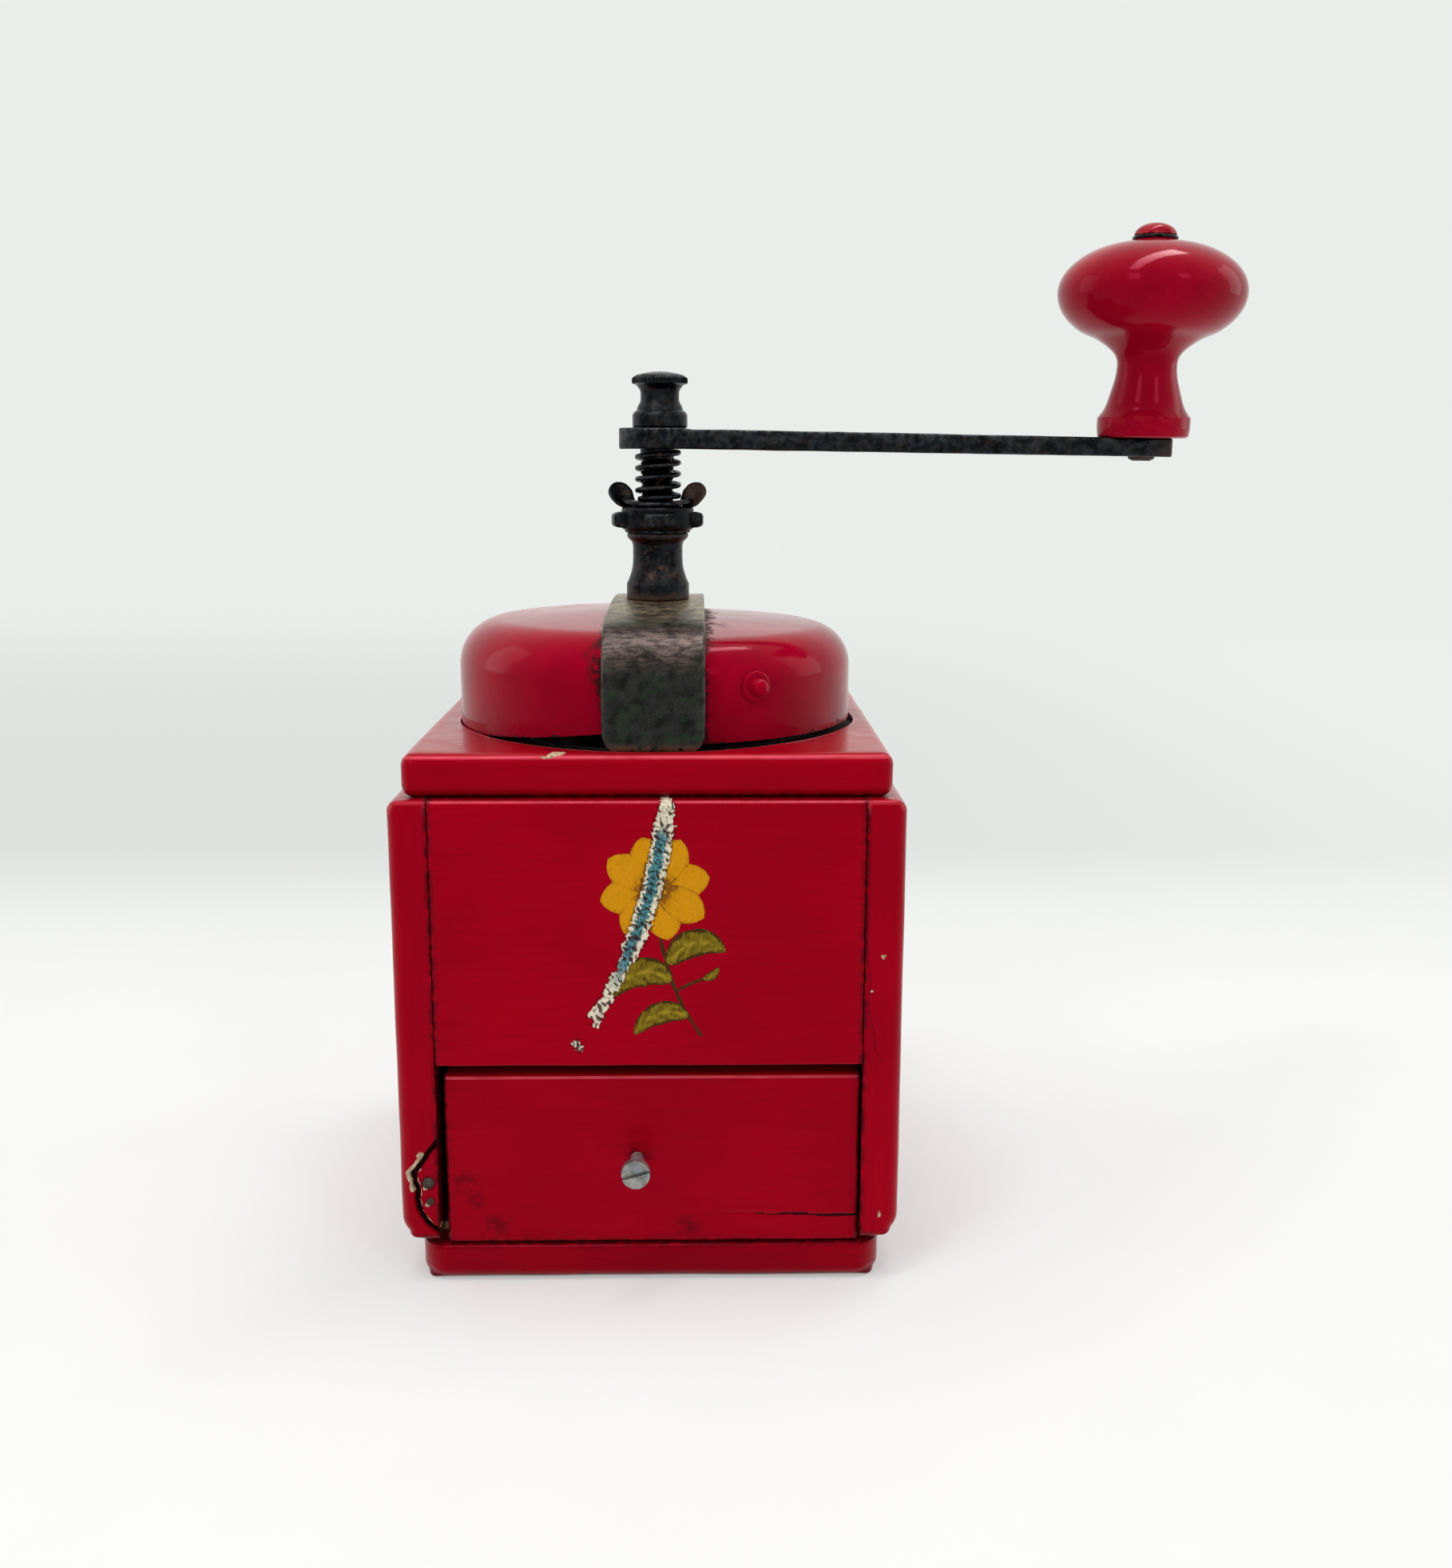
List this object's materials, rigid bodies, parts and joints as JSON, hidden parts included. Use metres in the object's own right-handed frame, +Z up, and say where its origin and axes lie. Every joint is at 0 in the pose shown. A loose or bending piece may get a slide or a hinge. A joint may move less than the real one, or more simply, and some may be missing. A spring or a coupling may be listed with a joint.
{
  "type": "coffee grinder",
  "caption": "Hand-cranked box coffee grinder: wooden case with a drawer, domed bean bowl with a turning door, conical burrs and a crank with a turned knob.",
  "frame": {"origin": "on the axis of the upright shaft, at the level that the base board stands on", "axes": "+Z up along the shaft, -Y towards the drawer's front, +X to the right, towards the crank's knob as pictured"},
  "size_m": [0.2185, 0.1354, 0.2653],
  "materials": {
    "enamelled_wood": "glossy red enamel on wood, worn and chipped at the edges",
    "turned_knob": "turned hardwood under glossy red enamel",
    "bare_wood": "raw planed softwood, darkened by coffee",
    "enamelled_sheet": "glossy red enamel on sheet steel, chipped at the rims",
    "cast_iron": "dark cast iron, as cast outside and cut at the teeth",
    "dark_steel": "blackened steel, satin, worn bright at the edges",
    "grey_steel": "dull grey steel, speckled with brown patina",
    "tin": "tinned sheet steel, dulled and stained by coffee",
    "bright_steel": "plain steel, lightly scratched"
  },
  "bodies": {
    "case": {"base_board": "enamelled_wood", "floor_sheet": "bare_wood", "side_board_left": "enamelled_wood", "side_board_right": "enamelled_wood", "front_panel": "enamelled_wood", "back_panel": "enamelled_wood", "drawer_shelf": "bare_wood", "top_board": "enamelled_wood", "glue_blocks": "bare_wood", "panel_nails": "grey_steel", "base_nails": "grey_steel", "mend_nails": "grey_steel", "bean_bowl": "tin", "burr_ring": "cast_iron", "lower_bridge": "cast_iron", "bridge_screws": "grey_steel", "strap": "grey_steel", "strap_screws": "dark_steel", "neck": "dark_steel", "dome_fixed": "enamelled_sheet", "dome_screw": "grey_steel", "dome_washer": "grey_steel"},
    "door": {"dome_door": "enamelled_sheet", "door_button": "enamelled_sheet"},
    "washer": {"notched_washer": "dark_steel"},
    "grind_nut": {"adjusting_nut": "cast_iron"},
    "lock": {"wing_lock": "dark_steel"},
    "spindle": {"shaft": "dark_steel", "burr_cone": "cast_iron", "cone_pin": "bright_steel", "crank_arm": "dark_steel", "knob_pin": "dark_steel", "knob_washer": "dark_steel", "knob_cap": "enamelled_sheet", "spring": "dark_steel"},
    "crank_nut": {"thumb_nut": "dark_steel"},
    "knob": {"knob": "turned_knob"},
    "drawer": {"drawer_front": "enamelled_wood", "drawer_side_left": "bare_wood", "drawer_side_right": "bare_wood", "drawer_back": "bare_wood", "drawer_bottom": "bare_wood", "drawer_nails": "grey_steel", "drawer_screw": "bright_steel"}
  },
  "joints": [
    {"name": "crank_turn", "type": "hinge", "parent": "case", "child": "washer", "pos_m": [0, 0, 0.18533], "axis": [0, 0, 1], "continuous": true},
    {"name": "grind_nut_turn", "type": "hinge", "parent": "washer", "child": "grind_nut", "pos_m": [0, 0, 0.18603], "axis": [0, 0, 1], "range_deg": [-345.6, 0]},
    {"name": "grind_lift", "type": "slide", "parent": "washer", "child": "spindle", "axis": [0, 0, 1], "range_m": [0, 0.0012]},
    {"name": "wing_lift", "type": "slide", "parent": "washer", "child": "lock", "axis": [0, 0, 1], "range_m": [0, 0.004], "stiffness_N_per_m": 7200, "springref_m": -0.002, "deforming": ["spring"]},
    {"name": "thumb_nut_turn", "type": "hinge", "parent": "spindle", "child": "crank_nut", "pos_m": [0, 0, 0.21208], "axis": [0, 0, 1], "range_deg": [0, 180]},
    {"name": "knob_spin", "type": "hinge", "parent": "spindle", "child": "knob", "pos_m": [0.12959, 0, 0.20556], "axis": [0.014, 0, 0.9999], "continuous": true},
    {"name": "door_turn", "type": "hinge", "parent": "case", "child": "door", "pos_m": [0, 0, 0.1503], "axis": [0, 0, 1], "range_deg": [0, 125]},
    {"name": "drawer_slide", "type": "slide", "parent": "case", "child": "drawer", "axis": [0, -1, 0], "range_m": [0, 0.09]}
  ],
  "couplings": [
    {"joint": "grind_nut_turn", "follows": "grind_lift", "rad_per_m": -5026.5}
  ]
}
